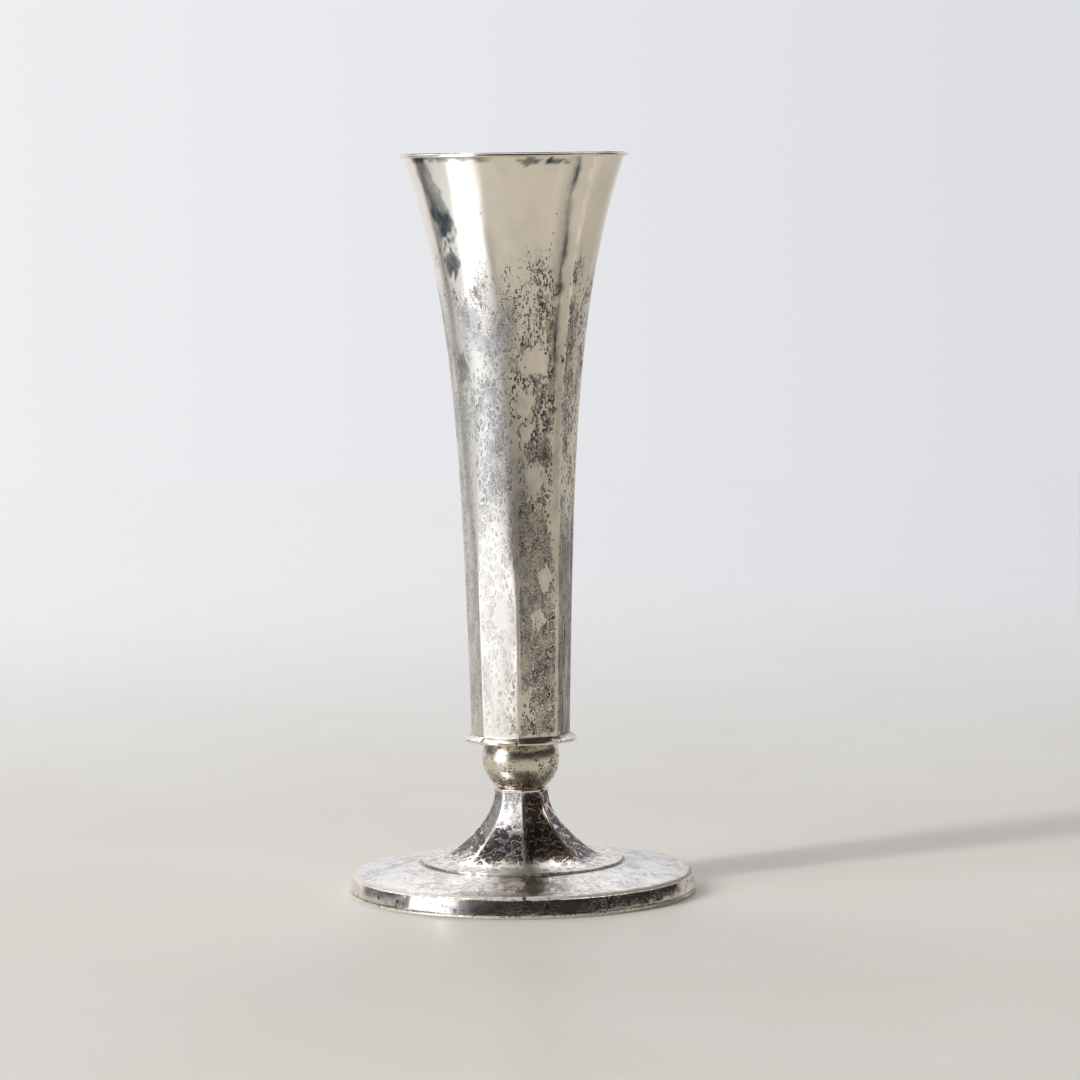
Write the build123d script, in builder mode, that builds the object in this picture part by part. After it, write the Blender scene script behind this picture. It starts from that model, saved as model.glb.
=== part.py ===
# A silver-plated trumpet vase: an eight-sided flared body on a lobed collar, a ball knop,
# an eight-sided spreading stem and a weighted round foot, stacked on one tie bolt.
# Millimetres, +Z up, origin at the centre of the foot's underside.
import os
from math import asin, cos, degrees, radians, sin

from build123d import *

# Driving dimensions

# Facets of the body, which run out at the mouth, of the collar's lobes and of the stem
facets = 8

# Trumpet body: radius to the arrises = foot radius + taper * share + flare * share ** power
body_height = 195.85
body_foot_radius = 16.7
body_taper = 5.1
body_flare = 15.7
flare_power = 3.9
rounding_power = 4  # how late the facets bow out into the round mouth
body_wall = 0.9
body_section_shares = (0, 0.2, 0.4, 0.6, 0.75, 0.88, 1)

# Half-round wire soldered round the outside of the mouth
mouth_wire_height = 1.4
mouth_wire_stand = 1.0  # how far the wire stands out from the body

# Floor plate soldered inside the bottom of the body
floor_thickness = 1.5
solder_gap = 0.05

# Lobed collar under the body: one bowed lobe to each facet, with notches below the arrises.
# Its top falls from a land under the body's foot to the upright edge.
collar_edge = 0.7
collar_bevel = 0.35
collar_fall = 1.2
collar_stand = 2.2  # how far the lobes' ends stand out from the body's arrises
collar_bow = 1.95  # how far the lobes bow out from the straight between their ends
land_stand = 0.3
land_bow = 0.5
notch_width = 0.9
notch_depth = 1.4

# Ball knop, soldered from two cups at its equator and cut off at two latitudes, in degrees
knop_radius = 13.0
knop_wall = 0.9
knop_collar_latitude = 27.8
knop_seat_latitude = 52.0

# Spreading stem: radius to the arrises = neck radius + spread * share ** power
stem_height = 23.3
stem_neck_radius = 9.2
stem_spread = 18.3
stem_power = 1.9
stem_root_rounding = 0.5  # how round the facets are where they meet the flange
stem_root_power = 8
stem_wall = 0.9
stem_section_shares = (0, 0.2, 0.4, 0.6, 0.8, 0.92, 1)
flange_width = 6.6
flange_thickness = 0.9
cap_thickness = 1.0
cap_overhang = 0.2

# Foot: a disc that rises to the stem's seat, turned down into a skirt, on a half-round wire
shoulder_radius = 57.5
shoulder_fillet = 0.8
skirt_spread = 1.2
skirt_height = 5.8
skirt_bulge = 0.25
disc_rise = 3.2
disc_wall = 1.0
seat_margin = 0.3
seat_width = 16.4
foot_wire_height = 1.4
foot_wire_width = 2.9
foot_wire_stand = 0.2

# Weighting and the underside
felt_recess = 0.3  # the wire, not the felt, stands on the table
felt_thickness = 0.9
felt_margin = 1.2
plate_thickness = 0.6
plate_clearance = 0.2
filling_gap = 0.1

# M5 tie bolt, soldered in the floor and drawn up by a nut inside the stem
bolt_radius = 2.5
bolt_head_overhang = 4.5
bolt_head_height = 1.2
bolt_tail = 1.3  # how far the bolt passes the nut
bolt_chamfer = 0.4
bolt_clearance = 0.2
thread_clearance = 0.05
washer_width = 3.0
washer_thickness = 1.0
nut_sides = 6
nut_wall = 1.5
nut_height = 4.0
nut_chamfer = 0.4

# Levels, from the table upwards
collar_thickness = collar_bevel + collar_edge + collar_fall
felt_top = felt_recess + felt_thickness
plate_top = felt_top + plate_thickness
shoulder_level = foot_wire_height + skirt_height
seat_level = shoulder_level + disc_rise
flange_top = seat_level + flange_thickness
stem_top = flange_top + stem_height
cap_top = stem_top + cap_thickness
knop_centre = cap_top + knop_radius * sin(radians(knop_seat_latitude))
knop_top = knop_centre + knop_radius * sin(radians(knop_collar_latitude))
body_bottom = knop_top + collar_thickness
body_top = body_bottom + body_height
floor_top = body_bottom + floor_thickness
nut_top = stem_top - washer_thickness
nut_bottom = nut_top - nut_height
bolt_bottom = nut_bottom - bolt_tail

# Sizes that follow from the driving ones
half_facet = 180 / facets
collar_end_radius = body_foot_radius + collar_stand
flange_radius = stem_neck_radius + stem_spread + flange_width
seat_radius = flange_radius + seat_margin
disc_bore = seat_radius - seat_width
skirt_radius = shoulder_radius + skirt_spread
foot_wire_radius = skirt_radius + foot_wire_stand
foot_wire_bore = foot_wire_radius - foot_wire_width
plate_radius = foot_wire_bore - plate_clearance
filling_radius = min(foot_wire_bore, shoulder_radius - disc_wall) - filling_gap
bolt_hole_radius = bolt_radius + bolt_clearance


def polar(radius, angle):
    """The point at that radius and angle, in degrees."""
    return (radius * cos(radians(angle)), radius * sin(radians(angle)))


def body_radius(share):
    """Radius to the body's arrises at that share of its height."""
    return body_foot_radius + body_taper * share + body_flare * share**flare_power


def body_rounding(share):
    """0 where the body's facets are flat, 1 where they make a circle."""
    return share**rounding_power


def stem_radius(share):
    """Radius to the stem's arrises at that share of the way down it."""
    return stem_neck_radius + stem_spread * share**stem_power


def stem_rounding(share):
    """0 where the stem's facets are flat, 1 where they make a circle."""
    return stem_root_rounding * share**stem_root_power


def facet_outline(arris_radius, rounding, wall=0):
    """One edge to each facet, bowed from flat (rounding 0) to a circle (1), drawn in by the wall."""
    corner = arris_radius - wall / cos(radians(half_facet * (1 - rounding)))
    flat_middle = arris_radius * cos(radians(half_facet))
    middle = flat_middle + rounding * (arris_radius - flat_middle) - wall
    for index in range(facets):
        angle = 2 * half_facet * index
        start = polar(corner, angle)
        end = polar(corner, angle + 2 * half_facet)
        if rounding > 0:
            ThreePointArc(start, polar(middle, angle + half_facet), end)
        else:
            Line(start, end)


def lobe_outline(end_radius, bow, depth):
    """One lobe to each facet, bowed out from the straight, and a notch of that depth at each arris."""
    notch_angle = degrees(asin(notch_width / 2 / end_radius))
    middle_radius = end_radius * cos(radians(half_facet)) + bow
    for index in range(facets):
        angle = 2 * half_facet * index
        start = polar(end_radius, angle + notch_angle)
        end = polar(end_radius, angle + 2 * half_facet - notch_angle)
        Line(polar(end_radius - depth, angle), start)
        ThreePointArc(start, polar(middle_radius, angle + half_facet), end)
        Line(end, polar(end_radius - depth, angle + 2 * half_facet))


def cup_outline(latitude, side):
    """Half section of a ball cup, from its equator to a latitude above (side 1) or below (-1) it."""
    inner_radius = knop_radius - knop_wall
    inner_latitude = degrees(asin(knop_radius * sin(radians(latitude)) / inner_radius))
    outer = CenterArc((0, 0), knop_radius, 0, side * latitude)
    inner = CenterArc((0, 0), inner_radius, 0, side * inner_latitude)
    Line(outer @ 0, inner @ 0)
    Line(outer @ 1, inner @ 1)


def wire_outline(back, front, bottom, height):
    """Half section of a half-round wire, flat at the back and on both sides."""
    bend = front - height / 2
    top = bottom + height
    Polyline((bend, top), (back, top), (back, bottom), (bend, bottom))
    ThreePointArc((bend, bottom), (front, bottom + height / 2), (bend, top))


# The space that the trumpet takes up, which also shapes the back of the mouth wire
with BuildPart() as body_envelope:
    for share in body_section_shares:
        with BuildSketch(Plane.XY.offset(body_bottom + share * body_height)):
            with BuildLine():
                facet_outline(body_radius(share), body_rounding(share))
            make_face()
    loft()

# Trumpet body: a flared eight-sided tube, open at both ends
with BuildPart() as trumpet_body:
    add(body_envelope.part)
    for share in body_section_shares:
        with BuildSketch(Plane.XY.offset(body_bottom + share * body_height)):
            with BuildLine():
                facet_outline(body_radius(share), body_rounding(share), body_wall)
            make_face()
    loft(mode=Mode.SUBTRACT)

# Mouth wire: half-round outside, fitted to the flare at its back
with BuildPart() as mouth_wire:
    wire_back = body_radius(1 - mouth_wire_height / body_height) - body_wall
    wire_front = body_radius(1) + mouth_wire_stand
    with BuildSketch(Plane.XZ):
        with BuildLine():
            wire_outline(wire_back, wire_front, body_top - mouth_wire_height, mouth_wire_height)
        make_face()
    revolve(axis=Axis.Z)
    add(body_envelope.part, mode=Mode.SUBTRACT)

# Floor: an eight-sided plate that closes the body and holds the tie bolt
with BuildPart() as body_floor:
    floor_inset = (body_wall + solder_gap) / cos(radians(half_facet))
    with BuildSketch(Plane.XY.offset(body_bottom)):
        RegularPolygon(body_foot_radius - floor_inset, facets)
        Circle(bolt_radius + solder_gap, mode=Mode.SUBTRACT)
    extrude(amount=floor_thickness)

# Collar: eight lobes with a bevel below, an upright edge and a falling top, bored for the tie bolt
with BuildPart() as collar_plate:
    for level, end_radius, bow, depth in (
        (knop_top, collar_end_radius - collar_bevel, collar_bow, notch_depth),
        (knop_top + collar_bevel, collar_end_radius, collar_bow, notch_depth),
        (body_bottom - collar_fall, collar_end_radius, collar_bow, notch_depth),
        (body_bottom, body_foot_radius + land_stand, land_bow, 0),
    ):
        with BuildSketch(Plane.XY.offset(level)):
            with BuildLine():
                lobe_outline(end_radius, bow, depth)
            make_face()
    loft(ruled=True)
    with BuildSketch(Plane.XY.offset(knop_top)):
        Circle(bolt_hole_radius)
    extrude(amount=collar_thickness, mode=Mode.SUBTRACT)

# Knop: the upper cup carries the collar, the lower cup stands on the stem's cap
knop_plane = Plane((0, 0, knop_centre), x_dir=(1, 0, 0), z_dir=(0, -1, 0))
with BuildPart() as knop_upper_cup:
    with BuildSketch(knop_plane):
        with BuildLine():
            cup_outline(knop_collar_latitude, 1)
        make_face()
    revolve(axis=Axis.Z)

with BuildPart() as knop_lower_cup:
    with BuildSketch(knop_plane):
        with BuildLine():
            cup_outline(knop_seat_latitude, -1)
        make_face()
    revolve(axis=Axis.Z)

# Cap: an eight-sided plate soldered over the stem's neck
with BuildPart() as stem_cap:
    with BuildSketch(Plane.XY.offset(stem_top)):
        RegularPolygon(stem_neck_radius + cap_overhang, facets)
        Circle(bolt_hole_radius, mode=Mode.SUBTRACT)
    extrude(amount=cap_thickness)

# Stem: eight hollow-curved facets that spread into a round flange
with BuildPart() as stem_foot:
    for share in stem_section_shares:
        with BuildSketch(Plane.XY.offset(stem_top - share * stem_height)):
            with BuildLine():
                facet_outline(stem_radius(share), stem_rounding(share))
            make_face()
    loft()
    with BuildSketch(Plane.XY.offset(seat_level)):
        Circle(flange_radius)
    extrude(amount=flange_thickness)
    for share in stem_section_shares:
        with BuildSketch(Plane.XY.offset(stem_top - share * stem_height)):
            with BuildLine():
                facet_outline(stem_radius(share), stem_rounding(share), stem_wall)
            make_face()
    loft(mode=Mode.SUBTRACT)
    with BuildSketch(Plane.XY.offset(seat_level)):
        with BuildLine():
            facet_outline(stem_radius(1), stem_rounding(1), stem_wall)
        make_face()
    extrude(amount=flange_thickness, mode=Mode.SUBTRACT)

# Foot disc: a flat seat for the stem, a falling top, a rounded shoulder and a bowed skirt
with BuildPart() as base_disc:
    shoulder_point = (shoulder_radius, shoulder_level)
    hem_point = (skirt_radius, foot_wire_height)
    with BuildSketch(Plane.XZ):
        with BuildLine():
            Polyline(
                hem_point,
                (skirt_radius - disc_wall, foot_wire_height),
                (shoulder_radius - disc_wall, shoulder_level - disc_wall),
                (seat_radius, seat_level - disc_wall),
                (disc_bore, seat_level - disc_wall),
                (disc_bore, seat_level),
                (seat_radius, seat_level),
                shoulder_point,
            )
            SagittaArc(shoulder_point, hem_point, skirt_bulge)
        make_face()
        fillet(vertices().sort_by_distance(shoulder_point)[0], shoulder_fillet)
    revolve(axis=Axis.Z)

# Foot wire: half-round outside, flat where it stands on the table
with BuildPart() as foot_wire:
    with BuildSketch(Plane.XZ):
        with BuildLine():
            wire_outline(foot_wire_bore, foot_wire_radius, 0, foot_wire_height)
        make_face()
    revolve(axis=Axis.Z)

# Filling: the weight cast into the foot, with a well that leaves the nut within reach
with BuildPart() as foot_filling:
    disc_underside = disc_wall + filling_gap
    with BuildSketch(Plane.XZ):
        with BuildLine():
            Polyline(
                (disc_bore, plate_top),
                (filling_radius, plate_top),
                (filling_radius, shoulder_level - disc_underside),
                (seat_radius, seat_level - disc_underside),
                (disc_bore, seat_level - disc_underside),
                close=True,
            )
        make_face()
    revolve(axis=Axis.Z)

# Bottom plate: closes the foot inside the wire
with BuildPart() as bottom_plate:
    with BuildSketch(Plane.XY.offset(felt_top)):
        Circle(plate_radius)
    extrude(amount=plate_thickness)

# Felt: glued to the bottom plate, a little above the table
with BuildPart() as felt_pad:
    with BuildSketch(Plane.XY.offset(felt_recess)):
        Circle(plate_radius - felt_margin)
    extrude(amount=felt_thickness)

# Tie bolt: a flat head on the floor of the body, a shank down to the nut
with BuildPart() as tie_bolt:
    with BuildSketch(Plane.XY.offset(floor_top)):
        Circle(bolt_radius + bolt_head_overhang)
    extrude(amount=bolt_head_height)
    chamfer(tie_bolt.edges().group_by(Axis.Z)[-1], bolt_chamfer)
    with BuildSketch(Plane.XY.offset(bolt_bottom)):
        Circle(bolt_radius)
    extrude(amount=floor_top - bolt_bottom)
    chamfer(tie_bolt.edges().group_by(Axis.Z)[0], bolt_chamfer)

# Washer and nut: draw the stack together from inside the stem's neck
with BuildPart() as tie_washer:
    with BuildSketch(Plane.XY.offset(nut_top)):
        Circle(bolt_radius + washer_width)
        Circle(bolt_hole_radius, mode=Mode.SUBTRACT)
    extrude(amount=washer_thickness)

with BuildPart() as tie_nut:
    with BuildSketch(Plane.XY.offset(nut_bottom)):
        RegularPolygon(bolt_radius + nut_wall, nut_sides, major_radius=False)
        Circle(bolt_radius + thread_clearance, mode=Mode.SUBTRACT)
    extrude(amount=nut_height)
    chamfer(tie_nut.edges().group_by(Axis.Z)[0].filter_by(GeomType.CIRCLE), nut_chamfer)

# One file to each piece, under the piece's name
pieces = {
    "mouth_wire": mouth_wire,
    "trumpet_body": trumpet_body,
    "body_floor": body_floor,
    "tie_bolt": tie_bolt,
    "collar_plate": collar_plate,
    "knop_upper_cup": knop_upper_cup,
    "knop_lower_cup": knop_lower_cup,
    "stem_cap": stem_cap,
    "tie_washer": tie_washer,
    "tie_nut": tie_nut,
    "stem_foot": stem_foot,
    "base_disc": base_disc,
    "foot_wire": foot_wire,
    "foot_filling": foot_filling,
    "bottom_plate": bottom_plate,
    "felt_pad": felt_pad,
}
os.makedirs("parts", exist_ok=True)
for name, piece in pieces.items():
    piece.part.label = name
    export_step(piece.part, f"parts/{name}.step")

print(f"overall height {body_top:.2f} mm, foot {2 * foot_wire_radius:.1f} mm across")
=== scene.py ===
import math

import bpy
import numpy as np
from mathutils import Matrix, Vector


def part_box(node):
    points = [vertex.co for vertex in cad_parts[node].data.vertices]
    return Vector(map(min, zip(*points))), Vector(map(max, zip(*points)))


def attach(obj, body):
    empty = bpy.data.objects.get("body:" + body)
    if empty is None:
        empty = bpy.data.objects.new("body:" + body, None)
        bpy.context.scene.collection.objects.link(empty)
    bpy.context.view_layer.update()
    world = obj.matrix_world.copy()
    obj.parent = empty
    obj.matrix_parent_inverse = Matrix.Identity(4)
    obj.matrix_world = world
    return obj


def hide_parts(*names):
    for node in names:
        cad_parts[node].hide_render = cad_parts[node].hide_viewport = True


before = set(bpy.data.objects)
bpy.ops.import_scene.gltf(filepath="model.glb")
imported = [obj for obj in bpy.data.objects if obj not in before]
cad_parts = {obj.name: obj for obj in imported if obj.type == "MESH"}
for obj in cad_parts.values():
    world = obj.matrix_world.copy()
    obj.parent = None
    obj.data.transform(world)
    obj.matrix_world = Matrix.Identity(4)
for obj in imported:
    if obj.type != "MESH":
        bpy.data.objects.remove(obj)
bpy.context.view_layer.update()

METRES = 0.001  # metres in a millimetre
SHARP_ANGLE = math.radians(40)  # edges that turn by more than this are shown sharp


def level(node, end):
    """Height in millimetres of the lower (0) or upper (1) end of a solid."""
    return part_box(node)[end].z / METRES


def reach(node):
    """Greatest radius in millimetres of a solid."""
    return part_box(node)[1].x / METRES


# Sizes read from the solids
body_bottom = level("trumpet_body", 0)
body_top = level("trumpet_body", 1)
body_height = body_top - body_bottom
mouth_radius = reach("trumpet_body")
mouth_wire_bottom = level("mouth_wire", 0)
mouth_wire_radius = reach("mouth_wire")
collar_bottom = level("collar_plate", 0)
knop_bottom = level("knop_lower_cup", 0)
knop_middle = level("knop_lower_cup", 1)
knop_top = level("knop_upper_cup", 1)
knop_radius = reach("knop_lower_cup")
cap_bottom = level("stem_cap", 0)
cap_top = level("stem_cap", 1)
cap_radius = reach("stem_cap")
flange_bottom = level("stem_foot", 0)
stem_top = level("stem_foot", 1)
flange_radius = reach("stem_foot")
seat_level = level("base_disc", 1)
hem_level = level("base_disc", 0)
skirt_radius = reach("base_disc")
foot_wire_radius = reach("foot_wire")
foot_wire_top = level("foot_wire", 1)
felt_bottom = level("felt_pad", 0)
felt_top = level("felt_pad", 1)
felt_radius = reach("felt_pad")

# Sizes in millimetres, and counts and powers, that the solids' boxes don't show. The shoulder is
# rounder and the skirt flatter than the solids', as the light on the real foot shows.
FACETS = 8
HALF_FACET = math.pi / FACETS
FRONT = -math.pi / 2  # the direction of the camera
BODY_FOOT_RADIUS = 16.7
BODY_TAPER = 5.1
FLARE_POWER = 3.9
ROUNDING_POWER = 4
SHEET_WALL = 0.9
COLLAR_END_RADIUS = 18.9
COLLAR_LOBE_RADIUS = 19.4
COLLAR_BEVEL = 0.35
COLLAR_EDGE = 0.7
LAND_END_RADIUS = 17.0
LAND_MIDDLE_RADIUS = 16.2
NOTCH_WIDTH = 0.9
NOTCH_DEPTH = 1.4
BOLT_HOLE_RADIUS = 2.7
STEM_NECK_RADIUS = 9.2
STEM_ROOT_RADIUS = 27.5
STEM_POWER = 1.9
STEM_ROOT_ROUNDING = 0.5
STEM_ROOT_POWER = 8
FLANGE_THICKNESS = 0.9
SEAT_RADIUS = 34.4
DISC_WALL = 1.0
DISC_BORE = 18.0
SHOULDER_RADIUS = 57.5
SHOULDER_LEVEL = 7.2
SHOULDER_FILLET = 1.1
SKIRT_BULGE = 0.12
FOOT_WIRE_BORE = 56.0


def linear(code):
    """A colour written as sRGB hex, as linear red, green, blue and alpha."""
    srgb = np.array([int(code[place:place + 2], 16) for place in (1, 3, 5)]) / 255
    rgb = np.where(srgb <= 0.04045, srgb / 12.92, ((srgb + 0.055) / 1.055) ** 2.4)
    return (*rgb.tolist(), 1.0)


def smoothstep(low, under_collar_tarnish_and_shade, value):
    """0 at low, 1 at high, and an S between them."""
    share = np.clip((value - low) / (under_collar_tarnish_and_shade - low), 0, 1)
    return share * share * (3 - 2 * share)


def ripple(angle, height, seed, waves, turns, lengths):
    """Hammered unevenness, about 1 at its strongest: a sum of cosines, each with a whole number of
    waves round the axis (at most turns) and a wavelength along the section (from lengths, in mm)."""
    random = np.random.default_rng(seed)
    total = np.zeros(np.broadcast(angle, height).shape)
    for _ in range(waves):
        around = random.integers(-turns, turns + 1)
        upward = 2 * math.pi / random.uniform(*lengths)
        total += np.cos(around * angle + upward * height + random.uniform(0, 2 * math.pi))
    return total / math.sqrt(waves)


def turn_between(angle, other):
    """The angle from other to angle, taken the short way round."""
    return (angle - other + math.pi) % (2 * math.pi) - math.pi


def facet_angles(per_facet, crowding, turns):
    """Angles round a faceted piece, crowded towards its arrises, and the arrises' own angles, which
    are turned from an even spacing by given amounts in degrees."""
    arrises = FRONT + 2 * HALF_FACET * np.arange(FACETS) + np.radians(turns)
    arrises = np.append(arrises, arrises[0] + 2 * math.pi)
    across = np.arange(per_facet) * 2 / per_facet - 1
    share = (across + crowding * np.sin(math.pi * across) / math.pi + 1) / 2
    return (arrises[:-1, None] + np.diff(arrises)[:, None] * share).ravel(), arrises


def faceted_radius(angle, arrises, radius, rounding, softness):
    """Radius of an eight-sided section: one over the soft maximum of each flat side's one over radius,
    where softness is the width of a rounded arris as a share of the radius, blended into a circle."""
    middles = (arrises[:-1] + arrises[1:]) / 2
    halves = np.diff(arrises) / 2
    sides = np.cos(angle[..., None] - middles) / np.cos(halves)
    peak = sides.max(-1)
    soft = np.exp((sides - peak[..., None]) / softness[..., None]).sum(-1)
    return radius * ((1 - rounding) / (peak + softness * np.log(soft)) + rounding)


def near_arris(angle, arrises, radius, width):
    """1 on an arris, falling to 0 a few widths (in millimetres) away from it."""
    away = np.abs(turn_between(angle[..., None], arrises)).min(-1)
    return np.exp(-((away * radius / width) ** 2))


def turned(radius, angle, height):
    """Points at that radius, angle and height, as an array of x, y and z."""
    radius, angle, height = np.broadcast_arrays(radius, angle, height)
    return np.stack([radius * np.cos(angle), radius * np.sin(angle), height], -1)


def arc(centre, radius, start, end, count):
    """Points of a half section on a circle, between two angles in degrees."""
    angle = np.radians(np.linspace(start, end, count))
    return np.stack([centre[0] + radius * np.cos(angle), centre[1] + radius * np.sin(angle)], -1)


def run(start, end, count):
    """Points of a half section on a straight stretch, without its two ends."""
    share = np.linspace(0, 1, count + 2)[1:-1, None]
    return np.array(start) + share * (np.array(end) - np.array(start))


def ring_piece(name, points, loop_rows, poles=False, **marks):
    """A surface on a grid whose columns run round the axis and close on themselves. Its rows close
    too where loop_rows is true, and its first and last rows draw in to a point where poles is.
    marks are numbers for each point, kept as attributes that the materials read."""
    rows, columns = points.shape[:2]
    row = np.arange(rows if loop_rows else rows - 1)[:, None]
    column = np.arange(columns)[None, :]
    above = (row + 1) % rows * columns
    beside = (column + 1) % columns
    corners = [row * columns + column, row * columns + beside, above + beside, above + column]
    faces = np.stack(corners, -1).reshape(-1, 4).tolist()
    places = points.reshape(-1, 3)
    values = {mark: np.broadcast_to(value, (rows, columns)).ravel() for mark, value in marks.items()}
    if poles:
        last = (rows - 1) * columns
        pole = rows * columns + np.zeros(columns, int)
        around = np.arange(columns)
        faces += np.stack([pole, np.roll(around, -1), around], -1).tolist()
        faces += np.stack([pole + 1, last + around, last + np.roll(around, -1)], -1).tolist()
        places = np.concatenate([places, points[[0, -1]].mean(1)])
        values = {mark: np.append(value, value[[0, -1]]) for mark, value in values.items()}
    mesh = bpy.data.meshes.new(name)
    mesh.from_pydata((places * METRES).tolist(), [], faces)
    mesh.polygons.foreach_set("use_smooth", np.ones(len(faces), bool))
    mesh.set_sharp_from_angle(angle=SHARP_ANGLE)
    for mark, value in values.items():
        attribute = mesh.attributes.new(mark, "FLOAT", "POINT")
        attribute.data.foreach_set("value", value.astype(np.float32))
    piece = bpy.data.objects.new(name, mesh)
    bpy.context.scene.collection.objects.link(piece)
    return piece


def place(piece, material, slot, *nodes):
    """Gives a piece its material, hides the solids it stands for and fixes it to the vase."""
    piece.data.materials.append(material)
    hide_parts(*nodes)
    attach(piece, "root")


def add(tree, kind, sockets, **settings):
    """A new node of that kind with its settings made, and its sockets linked or given their values."""
    node = tree.nodes.new("ShaderNode" + kind)
    for name, value in settings.items():
        setattr(node, name, value)
    for socket, value in sockets.items():
        if isinstance(value, bpy.types.NodeSocket):
            tree.links.new(value, node.inputs[socket])
        else:
            node.inputs[socket].default_value = value
    return node


def new_material(name):
    """An empty node material, its node tree and its output."""
    material = bpy.data.materials.new(name)
    material.use_nodes = True
    tree = material.node_tree
    tree.nodes.clear()
    return material, tree, add(tree, "OutputMaterial", {})


# Colours of silver plate: wiped clean, under three kinds of dull film, with two colours of old tarnish
# and one of solid stains, which also paints shadows and dark reflections, the brass that shows where
# the plate is worn through, and dried polish, which also paints highlights
CLEAN_SILVER = linear("#f2e9db")
GREY_FILM = linear("#a4a5a4")
WHITE_FILM = linear("#c5c7cb")
BEIGE_FILM = linear("#b3a486")
BROWN_TARNISH = linear("#564b40")
VIOLET_TARNISH = linear("#4f4c52")
SLATE_STAIN_AND_SHADE = linear("#464d52")
BARE_BRASS = linear("#c08a52")
DRIED_POLISH_AND_HIGHLIGHT = linear("#ddd6c8")
PIT_DEPTH = 0.06  # millimetres
STIPPLE = 0.7  # millimetres
STIPPLE_CELL = 0.95  # millimetres


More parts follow.
